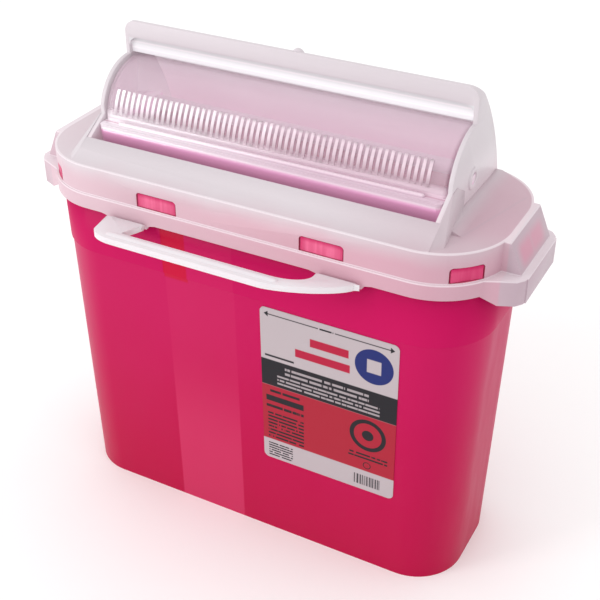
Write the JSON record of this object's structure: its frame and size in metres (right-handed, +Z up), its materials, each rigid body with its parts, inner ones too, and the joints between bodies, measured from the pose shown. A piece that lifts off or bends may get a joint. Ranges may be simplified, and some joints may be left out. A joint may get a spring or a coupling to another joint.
{
  "type": "sharps container",
  "caption": "Tapered plastic tub with a press-on frosted lid, a hooded tipping drop door and a front carry handle, for collecting used needles and blades.",
  "frame": {"origin": "centre of the flat base of the tub, where it stands", "axes": "+Z up, the front with the label, handle and door faces -Y, +X to the right seen from the front"},
  "size_m": [0.2696, 0.117, 0.2612],
  "materials": {
    "tub_plastic": "semi-gloss translucent pink polypropylene",
    "label_film": "printed satin film",
    "frosted_plastic": "frosted translucent white",
    "clear_plastic": "moulded, slightly cloudy clear",
    "bar_metal": "off-white coating",
    "handle_plastic": "frosted white"
  },
  "bodies": {
    "base": {"tub": "tub_plastic", "label": "label_film", "lid": "frosted_plastic", "hood": "frosted_plastic"},
    "door": {"door": "clear_plastic", "door_weight": "bar_metal"},
    "handle": {"carry_handle": "handle_plastic"}
  },
  "joints": [
    {"name": "door_hinge", "type": "hinge", "parent": "base", "child": "door", "pos_m": [0, 0.007, 0.216], "axis": [1, 0, 0], "range_deg": [0, 78]},
    {"name": "handle_hinge", "type": "hinge", "parent": "base", "child": "handle", "pos_m": [-0.0035, -0.05, 0.179], "axis": [1, 0, 0], "range_deg": [-86, 88]}
  ]
}
